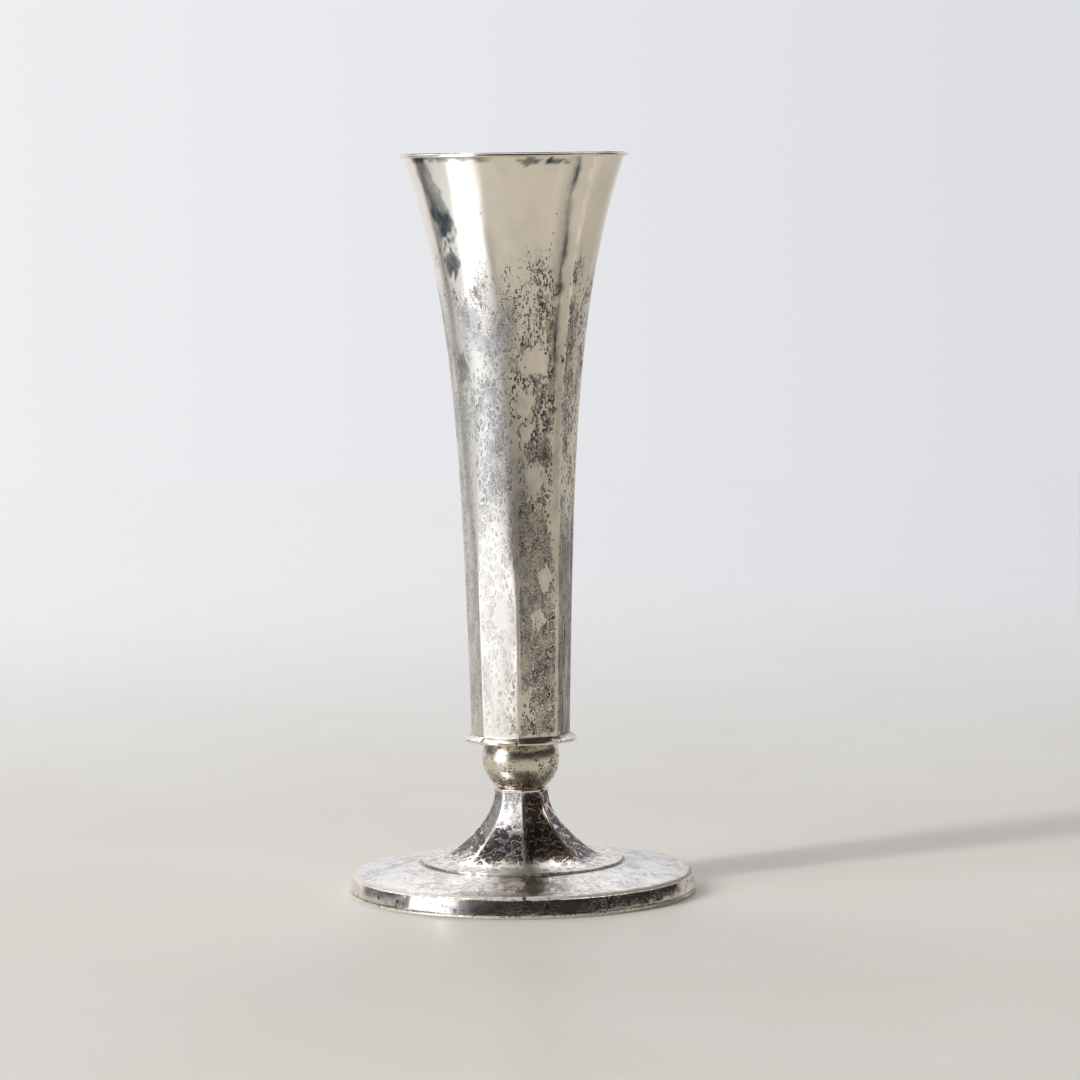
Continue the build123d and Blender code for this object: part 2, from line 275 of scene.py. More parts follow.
def tarnished_silver(name, cell, patch, polish, darkest, film_colour):
    """Hammered silver plate: a tinted mirror that tarnish darkens in cells with a bright net between
    them. cell and patch are the width and height of the cells and of the clouds that they gather in,
    in millimetres, polish is the roughness of clean plate, and darkest is how much of the dark colour
    a full cell has. The piece's marks say the rest: tarnish how far the cells have grown, wear how far
    they are rubbed bright again, film how dull a film of film_colour is below them, net whether they
    are ragged islands (0) or whole cells (1), stipple whether they are small, stain how dark the solid
    stains and the painted shadows and dark reflections are, faint how far the cells have paled, bare how
    far the plate is worn through to the brass, and chalk how much dried polish, and cream painted as
    highlights, lies on it."""
    material, tree, output = new_material(name)
    marks = ("tarnish", "wear", "film", "net", "stipple", "stain", "faint", "bare", "chalk")
    marks = {mark: add(tree, "Attribute", {}, attribute_name=mark).outputs["Fac"] for mark in marks}
    place_on = add(tree, "TexCoord", {}).outputs["Object"]
    per_cell = [1 / (size * METRES) for size in (cell[0], cell[0], cell[1])]
    per_patch = [1 / (size * METRES) for size in (patch[0], patch[0], patch[1])]
    cells = add(tree, "VectorMath", {0: place_on, 1: per_cell}, operation="MULTIPLY").outputs[0]
    patches = add(tree, "VectorMath", {0: place_on, 1: per_patch}, operation="MULTIPLY").outputs[0]
    ragged = add(tree, "TexNoise", {"Vector": cells, "Scale": 1.9, "Detail": 4.0, "Roughness": 0.6})
    drift = add(tree, "TexNoise", {"Vector": cells, "Scale": 0.7, "Detail": 2.0}).outputs["Color"]
    drift = add(tree, "VectorMath", {0: drift, 1: (0.5, 0.5, 0.5)}, operation="SUBTRACT").outputs[0]
    drift = add(tree, "VectorMath", {0: drift, "Scale": 1.6}, operation="SCALE").outputs[0]
    cells = add(tree, "VectorMath", {0: cells, 1: drift}, operation="ADD").outputs[0]

    # The amount of tarnish here: the piece's own, made uneven by ragged clouds, less its wear
    cloud = {"Vector": patches, "Scale": 1.0, "Detail": 7.0, "Roughness": 0.62}
    cloud = add(tree, "TexNoise", cloud).outputs[0]
    haze = add(tree, "MapRange", {0: cloud, 1: 0.4, 2: 0.7, 3: 0.0, 4: 0.14}).outputs[0]
    cloud = add(tree, "MapRange", {0: cloud, 3: -0.9, 4: 0.9}).outputs[0]
    amount = add(tree, "Math", {0: marks["tarnish"], 1: cloud}, operation="ADD").outputs[0]
    amount = {0: amount, 1: marks["wear"]}
    amount = add(tree, "Math", amount, operation="SUBTRACT", use_clamp=True).outputs[0]

    # Cells grow from their middles until only a net of bright lines is left, and are darkest round
    # their rims
    small = {"Vector": place_on, "Scale": 1 / (STIPPLE_CELL * METRES)}
    small = add(tree, "TexVoronoi", small, feature="DISTANCE_TO_EDGE").outputs[0]
    large = {"Vector": cells, "Scale": 1.0}
    large = add(tree, "TexVoronoi", large, feature="DISTANCE_TO_EDGE").outputs[0]
    edge = add(tree, "Mix", {0: marks["stipple"], 2: large, 3: small}).outputs[0]
    whole = add(tree, "MapRange", {0: marks["net"], 3: 0.6, 4: 2.2}).outputs[0]
    torn = add(tree, "MapRange", {0: marks["net"], 3: 1.2, 4: 0.45}).outputs[0]
    edge = add(tree, "Math", {0: edge, 1: whole}, operation="MULTIPLY").outputs[0]
    edge = add(tree, "Math", {0: ragged.outputs[0], 1: torn, 2: edge}, operation="MULTIPLY_ADD").outputs[0]
    torn_rim = add(tree, "MapRange", {0: amount, 3: 1.04, 4: 0.5}).outputs[0]
    whole_rim = add(tree, "MapRange", {0: amount, 3: 1.3, 4: 0.32}).outputs[0]
    rim = add(tree, "Mix", {0: marks["net"], 2: torn_rim, 3: whole_rim}).outputs[0]
    rim_end = add(tree, "Math", {0: rim, 1: 0.05}, operation="ADD").outputs[0]
    middle = add(tree, "Math", {0: rim, 1: 0.4}, operation="ADD").outputs[0]
    island = add(tree, "MapRange", {0: edge, 1: rim, 2: rim_end}).outputs[0]
    pale = add(tree, "MapRange", {0: edge, 1: rim_end, 2: middle, 3: 1.0, 4: 0.55}).outputs[0]
    grain = add(tree, "TexNoise", {"Vector": place_on, "Scale": 1 / (STIPPLE * METRES), "Detail": 2.0})
    grain = add(tree, "MapRange", {0: grain.outputs[0], 1: 0.35, 2: 0.65, 3: 0.5, 4: 1.2}).outputs[0]
    thick = add(tree, "TexNoise", {"Vector": cells, "Scale": 0.6, "Detail": 2.0}).outputs[0]
    thick = add(tree, "MapRange", {0: thick, 1: 0.35, 2: 0.65, 3: 0.5, 4: 1.25}).outputs[0]
    thin = add(tree, "MapRange", {0: marks["faint"], 3: darkest, 4: 0.0}).outputs[0]
    dark = add(tree, "Math", {0: island, 1: pale}, operation="MULTIPLY").outputs[0]
    for factor in (grain, thick, thin):
        dark = add(tree, "Math", {0: dark, 1: factor}, operation="MULTIPLY", use_clamp=True).outputs[0]
    uneven = add(tree, "MapRange", {0: cloud, 1: -0.2, 2: 0.2, 3: 0.6, 4: 1.1}).outputs[0]
    stain = {0: marks["stain"], 1: uneven}
    stain = add(tree, "Math", stain, operation="MULTIPLY", use_clamp=True).outputs[0]
    dark = add(tree, "Math", {0: dark, 1: stain}, operation="MAXIMUM").outputs[0]
    film = add(tree, "MapRange", {0: amount, 1: -0.1, 2: 0.9, 3: 0.0, 4: 0.1}).outputs[0]
    film = add(tree, "Math", {0: film, 1: marks["film"]}, operation="MAXIMUM").outputs[0]
    film = add(tree, "Math", {0: film, 1: haze}, operation="ADD", use_clamp=True).outputs[0]

    hue = add(tree, "TexNoise", {"Vector": patches, "Scale": 0.6, "Detail": 3.0}).outputs[0]
    hue = add(tree, "MapRange", {0: hue, 1: 0.42, 2: 0.58}).outputs[0]
    tint = add(tree, "Mix", {0: hue, 6: BROWN_TARNISH, 7: VIOLET_TARNISH}, data_type="RGBA").outputs[2]
    # The slate colour is that of solid stains and of painted shadows and dark reflections
    tint = add(tree, "Mix", {0: marks["stain"], 6: tint, 7: SLATE_STAIN_AND_SHADE}, data_type="RGBA").outputs[2]
    colour = add(tree, "Mix", {0: film, 6: CLEAN_SILVER, 7: film_colour}, data_type="RGBA").outputs[2]
    colour = add(tree, "Mix", {0: marks["bare"], 6: colour, 7: BARE_BRASS}, data_type="RGBA").outputs[2]
    colour = add(tree, "Mix", {0: dark, 6: colour, 7: tint}, data_type="RGBA").outputs[2]
    dull = add(tree, "Math", {0: film, 1: 0.45, 2: polish}, operation="MULTIPLY_ADD").outputs[0]
    dull = add(tree, "Math", {0: dark, 1: 0.12, 2: dull}, operation="MULTIPLY_ADD").outputs[0]

    # Dried polish lies on the metal in flakes with ragged edges, and the same cream is painted on some
    # edges and beads as their highlights
    chalk = {0: ragged.outputs[0], 1: 1.2, 2: marks["chalk"]}
    chalk = add(tree, "Math", chalk, operation="MULTIPLY_ADD").outputs[0]
    chalk = add(tree, "MapRange", {0: chalk, 1: 1.02, 2: 1.25}).outputs[0]
    colour = add(tree, "Mix", {0: chalk, 6: colour, 7: DRIED_POLISH_AND_HIGHLIGHT}, data_type="RGBA").outputs[2]
    dull = add(tree, "Math", {0: chalk, 1: 0.4, 2: dull}, operation="MULTIPLY_ADD").outputs[0]
    metal = add(tree, "Math", {0: 1.0, 1: chalk}, operation="SUBTRACT").outputs[0]
    proud = add(tree, "Math", {0: 1.0, 1: dark}, operation="SUBTRACT").outputs[0]
    relief = add(tree, "Bump", {"Height": proud, "Strength": 0.4, "Distance": PIT_DEPTH * METRES})
    shader = add(tree, "BsdfPrincipled", {
        "Base Color": colour,
        "Metallic": metal,
        "Roughness": dull,
        "Normal": relief.outputs[0],
    })
    tree.links.new(shader.outputs[0], output.inputs[0])
    return material


# Hammered plate of the body: a warm mirror at the mouth that breaks up into tall grey cells below
body_silver = tarnished_silver("hammered_silver_plate_body", (1.5, 3.0), (7, 13), 0.15, 1.1, GREY_FILM)
# Plated wire, rubbed by hands and tables: bright lines with few dark specks
wire_silver = tarnished_silver("worn_silver_plate_wire", (1.4, 1.4), (5, 5), 0.16, 0.8, GREY_FILM)
# Plate of the collar: bright on its edge and dark where the body and the notches hold dirt
collar_silver = tarnished_silver("bright_silver_plate_collar", (1.5, 1.5), (4, 4), 0.15, 0.9, GREY_FILM)
# Polished plate of the knop: the clearest curved mirror, under a thin beige film with fine specks
knop_silver = tarnished_silver("polished_silver_plate_knop", (1.5, 1.3), (4, 3), 0.12, 1.2, BEIGE_FILM)
# Plate of the stem that cloths seldom reach: wide cells, nearly black, in a net of bright lines
stem_silver = tarnished_silver("dark_silver_plate_stem", (3.4, 3.2), (7, 6), 0.15, 2.4, WHITE_FILM)
# Hammered plate of the foot: a white haze with grey mottling on top and a clear mirror on the skirt
foot_silver = tarnished_silver("hammered_silver_plate_foot", (3.0, 3.0), (8, 8), 0.1, 1.0, WHITE_FILM)


def grained_material(name, low_colour, high_colour, grain, metallic, roughness, relief):
    """A dull hidden surface: two colours mixed by noise of that grain in millimetres, with its relief."""
    material, tree, output = new_material(name)
    place_on = add(tree, "TexCoord", {}).outputs["Object"]
    noise = {"Vector": place_on, "Scale": 1 / (grain * METRES), "Detail": 5.0}
    grains = add(tree, "TexNoise", noise).outputs[0]
    share = add(tree, "MapRange", {0: grains, 1: 0.35, 2: 0.65}).outputs[0]
    colour = add(tree, "Mix", {0: share, 6: low_colour, 7: high_colour}, data_type="RGBA").outputs[2]
    dull = add(tree, "MapRange", {0: share, 3: roughness + 0.1, 4: roughness - 0.1}).outputs[0]
    bump = add(tree, "Bump", {"Height": grains, "Strength": 0.6, "Distance": relief * METRES})
    shader = add(tree, "BsdfPrincipled", {
        "Base Color": colour,
        "Metallic": metallic,
        "Roughness": dull,
        "Normal": bump.outputs[0],
    })
    tree.links.new(shader.outputs[0], output.inputs[0])
    return material


# Silver plate that water has dulled to a pale grey bloom
dulled_plate = grained_material(
    "dulled_silver_plate_floor", linear("#8d877d"), linear("#b9b3a8"), 4, 1.0, 0.4, 0.05)
# Turned brass, browned with age
old_brass = grained_material(
    "old_turned_brass", linear("#8a6d3b"), linear("#b8965a"), 2.5, 1.0, 0.35, 0.02)
# Cast pitch, black and nearly matt
cast_pitch = grained_material(
    "cast_pitch", linear("#1d1a18"), linear("#2f2b27"), 6, 0.0, 0.6, 0.2)
# Tinned sheet gone dull grey
tinned_sheet = grained_material(
    "dull_tinned_sheet", linear("#77777a"), linear("#96969a"), 5, 1.0, 0.45, 0.03)
# Pressed wool felt: a matt, fibrous dark green, drawn with fibres coarse enough to show
green_felt = grained_material(
    "pressed_wool_felt", linear("#24382c"), linear("#3c5746"), 0.8, 0.0, 0.9, 0.3)

# Trumpet body: up the outside, over the mouth's edge, down the inside and back under the foot
BODY_ARRIS_TURNS = np.array([-2, 1.5, 0, -1, 1, 0, 1, -3.5])
BODY_COLUMNS = 40
BODY_ROWS = 230
INSIDE_ROWS = 46
CRISP_ARRIS = 0.006  # a share of the radius, as is SOFT_ARRIS
SOFT_ARRIS = 0.11
FACET_CROWN = 0.15
HAMMERED = 0.018
LIP_ROUNDING = 0.06
RIGHT_ARRIS_POWER = 5
LEFT_ARRIS_POWER = -1.5
body_angles, body_arrises = facet_angles(BODY_COLUMNS, 0.7, BODY_ARRIS_TURNS)
from_front = turn_between(body_angles, FRONT)


def body_radius(share):
    """Radius to the arrises: foot radius + taper * share + flare * share to the flare's power."""
    flare = mouth_radius - BODY_FOOT_RADIUS - BODY_TAPER
    return BODY_FOOT_RADIUS + BODY_TAPER * share + flare * share**FLARE_POWER


def body_section(share, wall):
    """Radius of the body at each share of its height and each angle, drawn in by the wall: flat sides
    with a slight crown that turn round as the share rises to a power. The arrises in front and on its
    left are beaten soft above the lower third and fade sooner, and the one on the right runs on
    almost to the mouth."""
    share = share[:, None] + np.zeros(len(body_angles))
    angle = body_angles + np.zeros(share.shape)
    beaten = smoothstep(0.56, 0.26, from_front) * smoothstep(-1.4, -1.1, from_front)
    beaten = beaten * smoothstep(0.22, 0.5, share)
    softness = CRISP_ARRIS + SOFT_ARRIS * beaten + 0.02 * smoothstep(0.4, 0.9, share)
    right_arris = smoothstep(0.35, 0.6, from_front) * smoothstep(1.25, 1.0, from_front)
    left_arrises = smoothstep(0.4, 0.15, from_front) * smoothstep(-1.4, -1.1, from_front)
    rounding_power = ROUNDING_POWER + RIGHT_ARRIS_POWER * right_arris + LEFT_ARRIS_POWER * left_arrises
    rounding = FACET_CROWN + (1 - FACET_CROWN) * share**rounding_power
    return faceted_radius(angle, body_arrises, body_radius(share), rounding, softness) - wall


outside_shares = np.linspace(0, 1, BODY_ROWS)
inside_shares = np.linspace(1, 0, INSIDE_ROWS)
lip_walls = np.array([0.12, 0.45, 0.78]) * SHEET_WALL
body_outside = body_section(outside_shares, 0)
outside_heights = outside_shares[:, None] * body_height
hammered = ripple(body_angles, outside_heights, 3, 70, 18, (7, 36))
body_outside += HAMMERED * hammered * smoothstep(1, 0.94, outside_shares)[:, None]
body_lip = np.concatenate([body_section(np.ones(1), wall) for wall in lip_walls])
body_inside = body_section(inside_shares, SHEET_WALL)
lip_rise = LIP_ROUNDING * np.sin(math.pi * lip_walls / SHEET_WALL)
body_heights = np.concatenate([
    body_bottom + outside_shares * body_height,
    body_top - LIP_ROUNDING + lip_rise,
    body_bottom + inside_shares * body_height,
])

# Tarnish of the body: clean towards the mouth, dense below, with facets that differ. Its borders are
# in shares of the height, 1 at the mouth, and in radians from the front, where left is below 0.
share = outside_shares[:, None]
clouds = ripple(body_angles, outside_heights, 8, 40, 9, (18, 90))
edge_noise = ripple(body_angles, outside_heights, 12, 40, 60, (3, 12))
body_tarnish = -0.02 + (0.68 + 0.05 * clouds) * smoothstep(0.87, 0.76, share + 0.03 * clouds)
left_half = smoothstep(0.84, 0.7, share + 0.03 * clouds)
left_half = left_half * smoothstep(0.15, -0.35, from_front + 0.08 * clouds + 0.05 * edge_noise)
body_tarnish += 0.17 * left_half
body_net = np.maximum(left_half, smoothstep(0.55, 0.35, share))
right_front = smoothstep(0.2, 0.36, from_front) * smoothstep(0.85, 0.75, from_front)
body_stipple = smoothstep(-0.02, 0.06, from_front) * smoothstep(0.6, 0.5, from_front + 0.06 * clouds)
body_stipple = body_stipple * smoothstep(0.08, 0.16, share + 0.02 * clouds) * smoothstep(0.44, 0.36, share)
below_mouth = smoothstep(0.6, 0.7, share) * smoothstep(0.4, 0.2, from_front)
body_stipple = np.maximum(body_stipple, 0.7 * below_mouth)
left_front = smoothstep(-0.86, -0.78, from_front) * smoothstep(0.02, -0.06, from_front)
body_tarnish += 0.1 * right_front * smoothstep(0.75, 0.62, share)
low_right = smoothstep(-0.02, 0.06, from_front) * smoothstep(0.85, 0.75, from_front)
body_tarnish += 0.33 * low_right * smoothstep(0.4, 0.3, share)
body_tarnish += 0.3 * body_stipple * smoothstep(0.5, 0.45, share)
far_right = smoothstep(0.75, 0.9, from_front) * smoothstep(2.0, 1.6, from_front)
body_tarnish += 0.55 * far_right * smoothstep(0.45, 0.3, share)
brown_band = smoothstep(0.78, 0.84, from_front + 0.02 * edge_noise) * smoothstep(1.15, 1.0, from_front)
body_tarnish += 0.1 * brown_band * smoothstep(0.35, 0.5, share) * smoothstep(0.82, 0.74, share)
low_left = left_front * smoothstep(0.45, 0.3, share)
body_tarnish += 0.05 * low_left
far_left = smoothstep(-0.8, -0.9, from_front)
body_film = left_half * (0.66 - 0.22 * low_left - 0.4 * far_left)
body_faint = left_half * (0.36 + 0.26 * low_left + 0.12 * far_left)
right_rim = smoothstep(1.05, 1.25, from_front) * smoothstep(2.2, 1.9, from_front)
body_film += 0.12 * right_rim * smoothstep(0.3, 0.5, share)
# A dark line beside the strip that is worn bright along the right arris
line_turn = np.radians(36.3 + 0.8 * ripple(0, outside_heights, 14, 12, 1, (8, 90)))
from_line = (from_front - line_turn) * body_outside
line_width = 0.9 + 0.3 * ripple(0, outside_heights, 15, 12, 1, (3, 14))
body_stain = np.exp(-((from_line / line_width) ** 2)) * smoothstep(0.55, 0.7, share)
body_film += 0.4 * smoothstep(-7, -1, from_line) * smoothstep(0, -1, from_line) * smoothstep(0.6, 0.8, share)
bright_strip = smoothstep(0.4, 1.2, from_line) * smoothstep(0.82, 0.79, from_front + 0.02 * edge_noise)
body_film += 0.2 * bright_strip * smoothstep(0.3, 0.5, share)
# A dark band below the mouth on the left, painted as the reflection of a dark wall, and a shadow painted
# under the mouth wire on the left
dark_reflection_left = np.radians(-66 + 5 * smoothstep(1, 0.86, share) + 1.5 * edge_noise)
dark_reflection_right = np.radians(-52 + 11 * smoothstep(0.985, 0.88, share) + 2 * edge_noise)
painted_dark_reflection = smoothstep(0, 0.05, from_front - dark_reflection_left) * smoothstep(0, 0.05, dark_reflection_right - from_front)
painted_dark_reflection = painted_dark_reflection * smoothstep(0.845, 0.86, share + 0.01 * edge_noise)
body_stain += painted_dark_reflection * (0.6 + 0.4 * smoothstep(0.97, 0.88, share))
streaks = ripple(body_angles, outside_heights, 16, 30, 60, (30, 120))
body_stain += (0.65 + 0.2 * streaks) * far_right * smoothstep(0.42, 0.3, share)
painted_shadow_under_wire = smoothstep(0.985, 0.989, share + 0.002 * edge_noise)
body_stain += 0.9 * painted_shadow_under_wire * smoothstep(-1.25, -1.1, from_front) * smoothstep(-0.15, -0.3, from_front)
# Patches: turn from the front in degrees, height in mm, half width and half height in mm, and the
# depth of a stain, or where it is below 0 how far the tarnish is wiped off
BODY_PATCHES = [
    (9, 247.2, 3.5, 1.0, 0.9),
    (22, 247, 4.0, 1.1, 0.9),
    (-51, 214, 3.6, 4.6, 0.85),
    (-55, 178, 3.0, 5.0, 0.7),
    (16, 181, 4.5, 3.8, -0.9),
    (8, 167, 2.6, 3.4, -0.9),
    (9, 157, 2.0, 2.4, -0.9),
    (20, 142, 3.0, 4.5, -0.7),
    (30, 108, 2.2, 4.5, -0.9),
    (22, 94, 2.4, 3.4, -0.9),
    (-22, 96, 2.8, 4.5, -0.9),
    (-27, 72, 2.5, 9.0, -0.3),
    (160, 150, 6.0, 8.0, -0.8),
    (-120, 120, 4.0, 10.0, -0.8),
]
for turn, height, half_width, half_height, change in BODY_PATCHES:
    across = turn_between(from_front, math.radians(turn)) * body_outside / half_width
    upward = (outside_heights + body_bottom - height) / half_height
    away = np.sqrt(across**2 + upward**2) + (0.25 if change < 0 else 0.45) * edge_noise
    inside_patch = smoothstep(1.15, 0.9, away)
    body_tarnish = body_tarnish + min(change, 0) * inside_patch
    body_stain = np.maximum(body_stain, change * inside_patch)
# Glints of brass where the plate is worn through: turn, height, half width and half height as above
BARE_SPOTS = [(29, 151, 0.6, 3.5), (31, 124, 0.5, 3.0), (27, 137, 0.5, 1.5)]
body_bare = np.zeros(body_outside.shape)
for turn, height, half_width, half_height in BARE_SPOTS:
    across = turn_between(from_front, math.radians(turn)) * body_outside / half_width
    upward = (outside_heights + body_bottom - height) / half_height
    body_bare = np.maximum(body_bare, np.exp(-(across**2) - upward**2))
arris_wear = near_arris(np.broadcast_to(body_angles, body_outside.shape), body_arrises, body_outside, 0.7)
body_wear = 0.75 * arris_wear * smoothstep(0.65, 0.4, share)
body_wear += (0.75 + 0.3 * edge_noise) * bright_strip * smoothstep(0.1, 0.5, share)
body_wear += smoothstep(0.012, 0.0, share)
within = np.zeros((len(lip_walls) + INSIDE_ROWS, len(body_angles)))
body = ring_piece(
    "vase_body",
    turned(np.concatenate([body_outside, body_lip, body_inside]), body_angles, body_heights[:, None]),
    True,
    tarnish=np.concatenate([body_tarnish, within + 0.2]),
    wear=np.concatenate([body_wear, within]),
    film=np.concatenate([body_film, within + 0.3]),
    net=np.concatenate([body_net, within]),
    stipple=np.concatenate([body_stipple, within]),
    stain=np.concatenate([body_stain, within]),
    faint=np.concatenate([body_faint, within + 0.3]),
    bare=np.concatenate([body_bare, within]),
)
place(body, body_silver, "plated_body", "trumpet_body")

# Mouth wire: a half-round bead, a little below the lip so that a groove shows behind it
MOUTH_COLUMNS = 256
MOUTH_GROOVE = 0.25
MOUTH_DENT = 0.05
mouth_angles = np.arange(MOUTH_COLUMNS) * 2 * math.pi / MOUTH_COLUMNS
bead = (body_top - MOUTH_GROOVE - mouth_wire_bottom) / 2
bead_centre = (mouth_wire_radius - bead, mouth_wire_bottom + bead)
wire_back_bottom = body_radius(1 - (body_top - mouth_wire_bottom) / body_height)
mouth_wire_section = np.concatenate([
    arc(bead_centre, bead, -90, 90, 15),
    [(mouth_radius - 0.05, body_top - MOUTH_GROOVE), (wire_back_bottom, mouth_wire_bottom)],
])
mouth_dents = MOUTH_DENT * ripple(mouth_angles, 0, 21, 14, 30, (10, 20))
mouth_wire = ring_piece(
    "vase_mouth_wire",
    turned(mouth_wire_section[:, :1], mouth_angles, mouth_wire_section[:, 1:] - np.abs(mouth_dents)),
    True,
    tarnish=0.25 + 0.2 * ripple(mouth_angles, 0, 22, 12, 14, (10, 20)),
    wear=0.15,
)
place(mouth_wire, wire_silver, "plated_wire", "mouth_wire")

# Collar: a bevel below, an upright edge and a falling top, with eight lobes and narrow notches
COLLAR_ARRIS_TURNS = np.array([-4, 0, 0, 1, 0, -1, 0, 0])
COLLAR_ROUNDING = 0.2
COLLAR_FALL_POWER = 1.4
COLLAR_WAVE = 0.03
collar_angles, collar_arrises = facet_angles(44, 0.75, COLLAR_ARRIS_TURNS)
to_notch = np.abs(turn_between(collar_angles[:, None], collar_arrises)).min(-1)
across_lobe = smoothstep(0, 1, to_notch / HALF_FACET)
lobe_radius = COLLAR_END_RADIUS + (COLLAR_LOBE_RADIUS - COLLAR_END_RADIUS) * across_lobe
notch_share = np.clip(1 - 2 * to_notch * COLLAR_END_RADIUS / NOTCH_WIDTH, 0, 1)
edge_radius = lobe_radius - NOTCH_DEPTH * notch_share
land_radius = LAND_END_RADIUS + (LAND_MIDDLE_RADIUS - LAND_END_RADIUS) * across_lobe
edge_bottom = collar_bottom + COLLAR_BEVEL
edge_top = edge_bottom + COLLAR_EDGE
quarter = np.radians(np.linspace(0, 90, 6))[:, None]
fall = np.linspace(0, 1, 12)[1:, None]
ones = np.ones(len(collar_angles))
collar_radii = np.concatenate([
    BOLT_HOLE_RADIUS * ones[None],
    edge_radius - COLLAR_BEVEL + COLLAR_BEVEL * np.sin(quarter),
    edge_radius - COLLAR_ROUNDING + COLLAR_ROUNDING * np.cos(quarter),
    edge_radius - COLLAR_ROUNDING + (land_radius - edge_radius + COLLAR_ROUNDING) * fall,
    BOLT_HOLE_RADIUS * ones[None],
])
collar_heights = np.concatenate([
    [[collar_bottom]],
    edge_bottom - COLLAR_BEVEL * np.cos(quarter),
    edge_top - COLLAR_ROUNDING + COLLAR_ROUNDING * np.sin(quarter),
    edge_top + (body_bottom - edge_top) * fall**COLLAR_FALL_POWER,
    [[body_bottom]],
])
collar_wave = COLLAR_WAVE * ripple(collar_angles, collar_heights, 31, 20, 40, (2, 6))
near_body = np.concatenate([np.zeros(13), fall[:, 0], [1]])[:, None]
collar = ring_piece(
    "vase_collar",
    turned(collar_radii, collar_angles, collar_heights + collar_wave * (1 - near_body)),
    True,
    tarnish=0.4 + 0.5 * notch_share + 0.45 * near_body,
    wear=0.3 * (1 - near_body) * (1 - notch_share),
    net=0.3,
    film=0.3 * smoothstep(0, 0.15, near_body),
    faint=0.2,
)
place(collar, collar_silver, "plated_collar", "collar_plate")

# Knop: two cups of a ball that meet at its equator
KNOP_COLUMNS = 200
KNOP_WAVE = 0.03
knop_angles = np.arange(KNOP_COLUMNS) * 2 * math.pi / KNOP_COLUMNS
knop_inner = knop_radius - SHEET_WALL
knop_centre = (0, knop_middle)


def cup_section(start, end):
    """Half section of a cup: the outer arc upwards between two heights, then the inner arc back."""
    outer = [math.degrees(math.asin((height - knop_middle) / knop_radius)) for height in (start, end)]
    inner = [math.degrees(math.asin((height - knop_middle) / knop_inner)) for height in (end, start)]
    outer_arc = arc(knop_centre, knop_radius, *outer, 28)
    inner_arc = arc(knop_centre, knop_inner, *inner, 8)
    return np.concatenate([outer_arc, inner_arc])


for name, start, end, node in (
    ("vase_knop_lower", knop_bottom, knop_middle, "knop_lower_cup"),
    ("vase_knop_upper", knop_middle, knop_top, "knop_upper_cup"),
):
    section = cup_section(start, end)
    knop_heights = section[:, 1:]
    knop_wave = KNOP_WAVE * ripple(knop_angles, knop_heights, 41, 30, 12, (6, 20))
    low = smoothstep(knop_middle - 2.5, knop_middle - 4, knop_heights)
    low = low * smoothstep(knop_bottom + 0.5, knop_bottom + 2, knop_heights)
    # Under the collar the upper cup has more tarnish, and is painted darker still as the collar's dark
    # reflection
    under_collar_tarnish_and_shade = smoothstep(knop_middle + 2, knop_top - 1.5, knop_heights)
    knop_clouds = ripple(knop_angles, knop_heights, 42, 24, 5, (8, 30))
    cup = ring_piece(
        name,
        turned(section[:, :1] + knop_wave, knop_angles, knop_heights),
        True,
        tarnish=0.5 + 0.18 * low + 0.4 * under_collar_tarnish_and_shade + 0.12 * knop_clouds,
        net=0.3,
        film=0.24,
        stain=0.6 * under_collar_tarnish_and_shade * smoothstep(-0.6, 0.2, knop_clouds),
    )
    place(cup, knop_silver, "plated_knop", node)

# Stem cap: an eight-sided plate with rounded edges
STEM_ARRIS_TURNS = np.array([2, 3.5, 0, 0, 0, 1, 0, 1.5])
stem_angles, stem_arrises = facet_angles(36, 0.7, STEM_ARRIS_TURNS)
CAP_EDGE = 0.25
cap_section = np.concatenate([
    [(BOLT_HOLE_RADIUS, cap_bottom)],
    arc((cap_radius - CAP_EDGE, cap_bottom + CAP_EDGE), CAP_EDGE, -90, 0, 5),
    arc((cap_radius - CAP_EDGE, cap_top - CAP_EDGE), CAP_EDGE, 0, 90, 5),
    [(BOLT_HOLE_RADIUS, cap_top)],
])
cap_outline = faceted_radius(stem_angles, stem_arrises, 1, 0, np.full(len(stem_angles), 0.01))
cap_is_faceted = (cap_section[:, :1] > BOLT_HOLE_RADIUS).astype(float)
cap_radii = cap_section[:, :1] * (cap_is_faceted * cap_outline + 1 - cap_is_faceted)
stem_cap = ring_piece(
    "vase_stem_cap",
    turned(cap_radii, stem_angles, cap_section[:, 1:]),
    True,
    tarnish=0.5,
    wear=0.15,
)
place(stem_cap, stem_silver, "plated_stem", "stem_cap")

# Stem: the flange's edge and top, eight hollow-curved facets up to the neck, and the inside down
flange_top = flange_bottom + FLANGE_THICKNESS
FLANGE_EDGE = 0.3
STEM_ROWS = 90
STEM_ARRIS = 0.025
ROOT_FILLET_RISE = 0.55
ROOT_FILLET_WIDTH = 2.6
STEM_WAVE = 0.05
stem_shares = np.linspace(1, 0, STEM_ROWS)


def stem_section(share, wall):
    """Radius of the stem: neck + spread * share to a power, eight-sided and rounder at its root."""
    radius = STEM_NECK_RADIUS + (STEM_ROOT_RADIUS - STEM_NECK_RADIUS) * share[:, None]**STEM_POWER
    rounding = STEM_ROOT_ROUNDING * share[:, None]**STEM_ROOT_POWER
    angle = np.broadcast_to(stem_angles, (len(share), len(stem_angles)))
    softness = np.full(angle.shape, STEM_ARRIS)
    return faceted_radius(angle, stem_arrises, radius, rounding, softness) - wall


